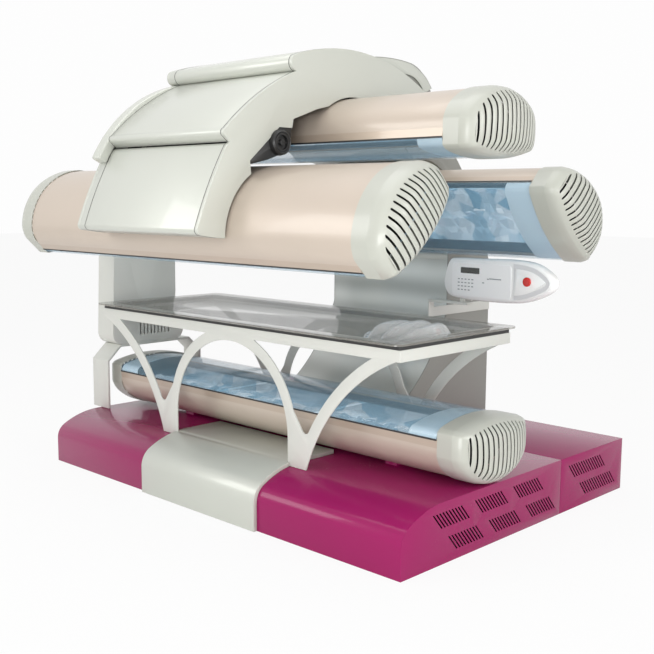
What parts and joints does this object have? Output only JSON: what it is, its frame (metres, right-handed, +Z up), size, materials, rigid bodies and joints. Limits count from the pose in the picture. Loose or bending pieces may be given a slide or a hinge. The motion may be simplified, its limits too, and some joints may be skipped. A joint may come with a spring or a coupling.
{
  "type": "clamshell tanning bed",
  "caption": "High-pressure tanning bed: bench over a low base, rear column and a lifting canopy arm with louvred lamp tubes round the body.",
  "frame": {"origin": "centre of the base's footprint, on the floor", "axes": "+Z up; +X along the bed towards the head end with the control pod; -Y is the side the user steps in from"},
  "size_m": [2.3998, 1.896, 1.94],
  "materials": {
    "base_magenta": "high gloss",
    "silver_panel": "satin",
    "column_grey": "satin",
    "shell_beige": "satin",
    "cap_grey": "satin",
    "lamp_acrylic": "clear, pale blue",
    "reflector": "bright anodised",
    "filter_glass": "blue filter glass",
    "lamp_quartz": "clear quartz",
    "fan_black": "matt",
    "dark_steel": "powder coat",
    "bright_steel": "ground",
    "bearing_plastic": "self-lubricating polymer",
    "white_steel": "satin powder coat",
    "bench_clear": "smoked clear acrylic",
    "seal_black": "matt",
    "pillow_clear": "clear moulded acrylic",
    "liner_black": "matt",
    "pod_white": "gloss",
    "stop_red": "gloss"
  },
  "bodies": {
    "stand": {"back_tube_acrylic": "lamp_acrylic", "back_tube_burners": "lamp_quartz", "back_tube_end_caps": "cap_grey", "back_tube_filter_panes": "filter_glass", "back_tube_reflector_tray": "reflector", "back_tube_shell": "shell_beige", "ballast_blocks": "dark_steel", "base_front_shell": "base_magenta", "base_rear_cabinet": "base_magenta", "bench_acrylic": "bench_clear", "bench_end_rails": "white_steel", "bench_front_fascia": "white_steel", "bench_rear_fascia": "white_steel", "bench_seal": "seal_black", "column_front_skin": "silver_panel", "column_rear_cover": "silver_panel", "column_side_plates": "column_grey", "column_throat_lining": "silver_panel", "floor_pan": "dark_steel", "headrest_pillow": "pillow_clear", "lower_tube_acrylic": "lamp_acrylic", "lower_tube_burners": "lamp_quartz", "lower_tube_end_caps": "cap_grey", "lower_tube_filter_panes": "filter_glass", "lower_tube_reflector_tray": "reflector", "lower_tube_shell": "shell_beige", "pivot_shaft": "bright_steel", "pod_bracket": "column_grey", "saddle_cover": "silver_panel", "tower_housing": "silver_panel", "tower_yoke": "silver_panel"},
    "canopy": {"arm_frame": "dark_steel", "arm_liner": "liner_black", "arm_lower_cover": "silver_panel", "arm_rear_hood": "silver_panel", "arm_roof": "silver_panel", "arm_side_panels": "silver_panel", "arm_upper_cover": "silver_panel", "front_tube_acrylic": "lamp_acrylic", "front_tube_burners": "lamp_quartz", "front_tube_end_caps": "cap_grey", "front_tube_filter_panes": "filter_glass", "front_tube_reflector_tray": "reflector", "front_tube_shell": "shell_beige", "nozzle_bracket": "white_steel", "pivot_bushes": "bearing_plastic", "top_tube_acrylic": "lamp_acrylic", "top_tube_burners": "lamp_quartz", "top_tube_end_caps": "cap_grey", "top_tube_filter_panes": "filter_glass", "top_tube_reflector_tray": "reflector", "top_tube_shell": "shell_beige"},
    "pod": {"pod_shell": "pod_white", "pod_face": "pod_white"},
    "stop": {"stop_button": "stop_red"},
    "nozzle": {"air_nozzle": "liner_black"},
    "back_fan": {"back_tube_fan": "fan_black"},
    "front_fan": {"front_tube_fan": "fan_black"},
    "lower_fan": {"lower_tube_fan": "fan_black"},
    "top_fan": {"top_tube_fan": "fan_black"}
  },
  "joints": [
    {"name": "canopy_hinge", "type": "hinge", "parent": "stand", "child": "canopy", "pos_m": [0, 0.103, 1.735], "axis": [-1, 0, 0], "range_deg": [0, 40]},
    {"name": "pod_swivel", "type": "hinge", "parent": "stand", "child": "pod", "pos_m": [0.56, 0.31, 0.88], "axis": [0, 0, 1], "range_deg": [-20, 20]},
    {"name": "stop_press", "type": "slide", "parent": "pod", "child": "stop", "axis": [0.0872, 0.9962, 0], "range_m": [0, 0.004], "stiffness_N_per_m": 1500, "springref_m": -0.001},
    {"name": "nozzle_swivel", "type": "hinge", "parent": "canopy", "child": "nozzle", "pos_m": [0.407, -0.689, 1.542], "axis": [1, 0, 0], "range_deg": [-20, 20]},
    {"name": "lower_fan_spin", "type": "hinge", "parent": "stand", "child": "lower_fan", "pos_m": [1.045, -0.252, 0.397], "axis": [1, 0, 0], "continuous": true},
    {"name": "front_fan_spin", "type": "hinge", "parent": "canopy", "child": "front_fan", "pos_m": [1.045, -0.76728, 1.27828], "axis": [1, 0, 0], "continuous": true},
    {"name": "top_fan_spin", "type": "hinge", "parent": "canopy", "child": "top_fan", "pos_m": [1.045, -0.257, 1.587], "axis": [1, 0, 0], "continuous": true},
    {"name": "back_fan_spin", "type": "hinge", "parent": "stand", "child": "back_fan", "pos_m": [1.045, 0.30128, 1.29728], "axis": [1, 0, 0], "continuous": true}
  ]
}
